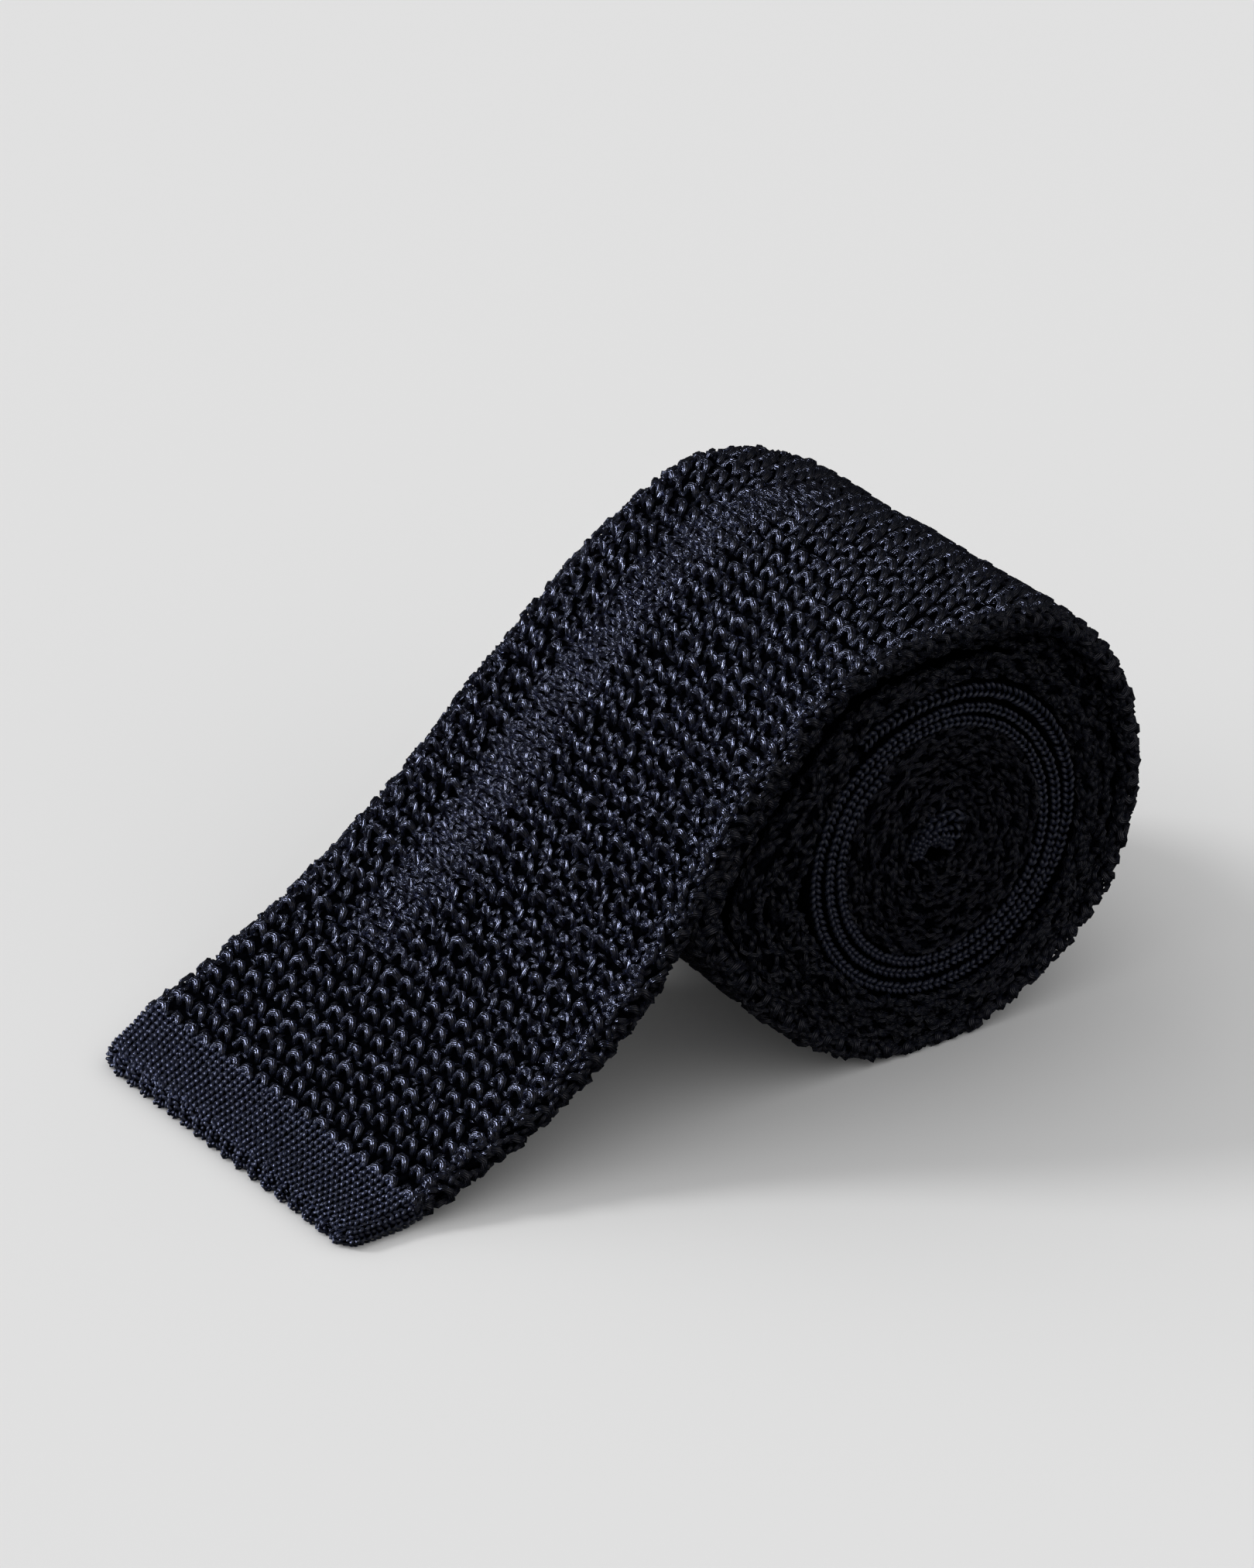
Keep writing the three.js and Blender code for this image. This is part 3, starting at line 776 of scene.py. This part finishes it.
PRESSED_COLUMN, PRESSED_HALF = 13.4, 1.3  # columns: middle and half width of the pressed band
PRESSED_START, PRESSED_FULL = 22 * MM, 47 * MM
RUFFLED_ALONG = (18 * MM, 40 * MM, 80 * MM, 105 * MM)  # starts, is full, fades, ends


def pressed(places):
    """1 along the pressed band that runs up the slope, where the arches lie down."""
    along, around = places
    band = np.exp(-(((around - PRESSED_COLUMN) / PRESSED_HALF) ** 2))
    return (band * np.interp(along, (PRESSED_START, PRESSED_FULL), (0, 1)) * (along < NOSE))[:, None]


def ruffled(along):
    """1 on the middle of the slope, where the loops are drawn small and lean every way."""
    return np.interp(along, RUFFLED_ALONG, (0, 1, 1, 0))


def part(places, keep):
    return places[0][keep], places[1][keep]


plump = np.array([0.7, 0.8, 0.95, 1.1, 1.1, 0.95, 0.8, 0.7])


def arches(name, places, thick, pulled):
    """Arches at the places. A pulled arch has come apart in two plies, the others are one plump loop."""
    size = np.interp(places[0] / MM, (0, 15, 40, 100, 130), (0.80, 0.82, 0.86, 0.88, 0.92))
    turn_by = 10 + 15 * ruffled(places[0])
    along, around, height = laid(arch, places, size=size, turn_by=turn_by, loose=0.2 * MM)
    height = at_edge(places, height) - 0.42 * MM * pressed(places)
    if pulled:
        ply_gap = thick * 0.75
        return strands(name, along, around, height, thick, thick * 0.9, 4, open_silk, ply_gap)
    return strands(name, along, around, height, thick * 1.6 * plump, thick * 1.3 * plump, 6, open_silk)


on_slope = (blade_places[0] < ROLL_TOP) & is_outside(blade_places[1])
on_roll = (blade_places[0] >= ROLL_TOP) & is_outside(blade_places[1])
beneath = ~is_outside(blade_places[1])
pulled_apart = rng.random(len(on_slope)) < ruffled(blade_places[0]) * 0.8
arch_pieces = [
    arches(name, part(blade_places, keep), 0.36 * MM, pulled)
    for name, keep, pulled in (
        ("arches_slope", on_slope & ~pulled_apart, False),
        ("arches_pulled", on_slope & pulled_apart, True),
        ("arches_roll", on_roll, False),
        ("arches_underside", beneath, False),
    )
]

# %% [markdown]
# ## Floats
# Lower down, darker strands run across between the arches and tie them together. They lie in pairs.
# They are thinner and simpler than the arches, because little of them shows.
# %% Floats between the arches
cross_strand = np.array([
    (-0.35, 0.55, -0.95),
    (-0.20, 1.25, -0.52),
    (-0.20, 2.25, -0.52),
    (-0.35, 2.95, -0.95),
]) * MM
second_strand = cross_strand + np.array([-0.75, 0.0, -0.04]) * MM
# short grains that lean against the next arch, on both sides
lean_right = np.array([
    (0.15, 1.05, -0.62),
    (0.55, 1.35, -0.22),
    (1.05, 1.60, -0.15),
    (1.55, 1.72, -0.55),
]) * MM
lean_left = lean_right * [1, -1, 1]


def floats(name, places, thick, tables):
    laid_out = [laid(table, places, turn_by=7.0) for table in tables]
    along, around, height = (np.concatenate(values) for values in zip(*laid_out))
    everywhere = tuple(np.tile(values, len(tables)) for values in places)
    deep = 0.34 * MM * (1 - ruffled(everywhere[0]))[:, None]
    height = at_edge(everywhere, height) + 0.4 * MM * pressed(everywhere) - deep
    return strands(name, along, around, height, thick, thick * 0.8, 4, open_silk)


every_strand = (cross_strand, second_strand, lean_right, lean_left)
float_pieces = [
    floats("floats_slope", part(blade_places, on_slope), 0.32 * MM, every_strand),
    floats("floats_roll", part(blade_places, on_roll), 0.32 * MM, every_strand[:3]),
    floats("floats_underside", part(blade_places, beneath), 0.34 * MM, every_strand[:2]),
]

# %% [markdown]
# ## The pressed band
# A smoother stripe runs up the slope, where the tie was pressed. The arches lie down there, and the
# yarns that run across show as fine ribs. A bump could draw them, but only real strands catch the
# light at this low angle, so thin strands are laid close together in a brick pattern, and they sink
# out of sight towards the sides of the band.
# %% Fine ribs in the pressed band
RIB_START, RIB_STOP, RIB_ROW = 26 * MM, 118 * MM, 0.74 * MM
rib = np.array([(0, -1.7, -0.45), (0.05, -0.6, -0.10), (-0.05, 0.6, -0.10), (0, 1.7, -0.45)]) * MM
rib_rows = np.arange(RIB_START, RIB_STOP, RIB_ROW)
rib_row, rib_step = np.meshgrid(rib_rows, np.arange(-2, 3), indexing="ij")
shifted = 0.3 * (np.round(rib_row / RIB_ROW) % 2)
rib_places = (rib_row.ravel(), (PRESSED_COLUMN + 0.6 * rib_step + shifted).ravel())
along, around, height = laid(rib, rib_places, turn_by=9.0, loose=0.13 * MM)
height = height - 0.55 * MM * (1 - pressed(rib_places))
float_pieces.append(strands("ribs_pressed", along, around, height, 0.3 * MM, 0.26 * MM, 4, open_silk))

# %% [markdown]
# ## Edges of the open knit
# Over the edges of the tie the loops are seen from their side, as many small grains round dark holes.
# The two faces of the roll are nothing but such edges, one turn on the other. A grid of short grains
# covers each edge, turned every way, with places left empty in a brick pattern for the holes. The
# grains beside a hole stand a little higher, so that the hole looks deep.
# %% Grains over the edges
grain = np.array([(-0.98, -0.12, -0.55), (-0.36, 0.14, 0.08), (0.36, 0.14, 0.08), (0.98, -0.12, -0.55)]) * MM


def edge_grains(name, middle, start, stop, pitch, thick):
    """Grains over one edge. middle is the column in the middle of the edge, pitch is in columns."""
    row, step = np.meshgrid(
        np.arange(int((stop - start) / (ROW / 3))), np.arange(round(1.6 / pitch) + 1), indexing="ij"
    )
    across = (step.ravel() - step.max() / 2 + 0.25 * (row.ravel() % 2)) * pitch
    row = row.ravel()
    hole = 0.26 * np.where(row // 3 % 2, 1, -1) + rng.normal(0, 0.08, len(row) // 3 + 1)[row // 3]
    to_hole = np.hypot((across - hole) / 0.33, (row % 3 - 1) / 1.3)
    keep = to_hole > 1
    places = (start + row[keep] * ROW / 3, middle + across[keep])
    turn_by = np.where(np.abs(across[keep]) > 0.5, 75.0, 30.0)
    along, around, height = laid(grain, places, turn_by=turn_by, loose=0.16 * MM)
    beside = np.exp(-((to_hole[keep] - 1.5) ** 2) * 4)
    height = height + (0.5 * MM * (beside - 0.6) + rng.normal(0, 0.18 * MM, len(beside)))[:, None]
    height = height + 0.18 * MM * np.interp(np.abs(across[keep]), (0, 0.5, 0.7), (0, 1, -2))[:, None]
    return strands(name, along, around, height, thick, thick * 0.9, 4, open_silk)


blade_edges = [
    edge_grains(name, middle, 0.8 * MM, BLADE_STOP - 0.6 * MM, 0.21, 0.39 * MM)
    for name, middle in (("grains_blade_near", 0), ("grains_blade_far", COLUMNS / 2))
]
tail_edges = [
    edge_grains(name, middle, NECK_STOP + 0.8 * MM, tail_stop, 0.33, 0.34 * MM)
    for name, middle in (("grains_tail_near", 0), ("grains_tail_far", COLUMNS / 2))
]

# %% [markdown]
# ## Loops on the outline
# Where the tie's outline shows, the last loop of each row stands out as a round bump. Grains alone
# give a smooth rim like a cord. So one plump arch a row is laid over each edge, from the hem up the
# slope and round the outermost turn.
# %% Edge loops where the outline shows
LOOPS_STOP = NOSE + 40 * MM  # where the next turn covers the edge
edge_rows = np.arange(2 * MM, LOOPS_STOP, ROW)
edge_row, edge_side = np.meshgrid(edge_rows, np.array([0, COLUMNS / 2]), indexing="ij")
edge_places = (edge_row.ravel(), edge_side.ravel())
along, around, height = laid(arch, edge_places, size=0.8, turn_by=16.0, loose=0.2 * MM)
blade_edges.append(strands(
    "edge_loops", along, around, height + 0.2 * MM, 0.52 * MM * plump, 0.46 * MM * plump, 6, open_silk
))

# %% [markdown]
# ## Fine knit
# The hem and the neck are worked in plain stitches: rows of small Vs like plaits. Each V is two
# slanted grains. On the neck only the edge shows, where one plait runs along each turn.
# %% Grains of the hem and of the neck
lit_leg = np.array([
    (-0.48, -0.46, -0.34), (-0.16, -0.30, 0.14), (0.18, -0.12, 0.16), (0.48, 0.04, -0.28)
]) * MM
other_leg = np.array([
    (-0.48, 0.60, -0.56), (-0.16, 0.48, -0.24), (0.18, 0.34, -0.22), (0.48, 0.22, -0.52)
]) * MM
neck_leg = np.array([
    (-0.52, 1.00, 0.16), (-0.16, 0.74, 0.32), (0.18, 0.44, 0.24), (0.52, 0.16, -0.06)
]) * MM


def plaits(name, places, legs, thick, to_along=lambda travelled: travelled, swell=0.0):
    """V stitches at the places. to_along turns the distance that rows are counted in into metres along."""
    laid_out = [laid(leg, places, turn_by=4.0, loose=0.05 * MM) for leg in legs]
    travelled, around, height = (np.concatenate(values) for values in zip(*laid_out))
    along = to_along(travelled)
    height = height + swell * np.clip(1 - (TIE_STOP - along) / (7 * MM), 0, 1)
    return strands(name, along, around, height, thick, thick * 0.85, 4, fine_silk)


def field(start, stop, stitch, columns):
    row, column = np.meshgrid(np.arange(start, stop, stitch), columns, indexing="ij")
    return row.ravel(), column.ravel()


def round_lip(travelled):
    """Metres along the tie for a distance travelled over the rounded free end of the hem."""
    quarter = LIP * math.pi / 2
    angle = np.clip(travelled / LIP, 0.02, math.pi / 2)
    return HEM_START + LIP * (1 - np.cos(angle)) + np.maximum(travelled - quarter, 0)


STITCH = 0.92 * MM
hem_travel = HEM_LENGTH + LIP * (math.pi / 2 - 1)
hem_places = field(0.35 * MM, hem_travel + 1.2 * MM, STITCH, np.linspace(0, COLUMNS, 103)[:-1])
hem_grains = plaits("hem_grains", hem_places, (lit_leg, other_leg), 0.255 * MM, round_lip)
neck_places = field(BLADE_STOP + 0.6 * MM, NECK_STOP, 1.08 * MM, np.array([0, COLUMNS / 2]))
neck_grains = plaits("neck_grains", neck_places, (neck_leg, neck_leg * [1, -1, 1]), 0.33 * MM)
edge_wales = np.arange(-4, 5) * COLUMNS / 102
tail_hem_places = field(
    tail_stop + 0.5 * MM, TIE_STOP, STITCH, np.concatenate([edge_wales, edge_wales + COLUMNS / 2])
)
tail_hem_grains = plaits("tail_hem_grains", tail_hem_places, (lit_leg, other_leg), 0.34 * MM, swell=2.4 * MM)

# %% [markdown]
# ## What each piece is
# Each slab takes the place of its CAD node, which is hidden. The table also lists the flat size that
# it was knitted to. The stitches are the separate pieces on it.
blade_stitches = arch_pieces + float_pieces + blade_edges
tail_hem_length = TIE_STOP - tail_stop
for cloth, node, width, length, slot, on_it, held in (
    (hem_cloth, "front_hem", BLADE_WIDTH - HEM_TAPER / 2, HEM_LENGTH, "knit_plain", [hem_grains], "laid"),
    (blade_cloth, "front_blade", BLADE_WIDTH, BLADE_STOP, "knit_open", blade_stitches, "folded"),
    (neck_cloth, "neck_band", NECK_WIDTH, NECK_STOP - BLADE_STOP, "knit_plain", [neck_grains], "folded"),
    (tail_cloth, "tail_blade", TAIL_WIDTH, tail_stop - NECK_STOP, "knit_open", tail_edges, "folded"),
    (tail_hem_cloth, "tail_hem", TAIL_WIDTH, tail_hem_length, "knit_plain", [tail_hem_grains], "folded"),
):
    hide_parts(node)
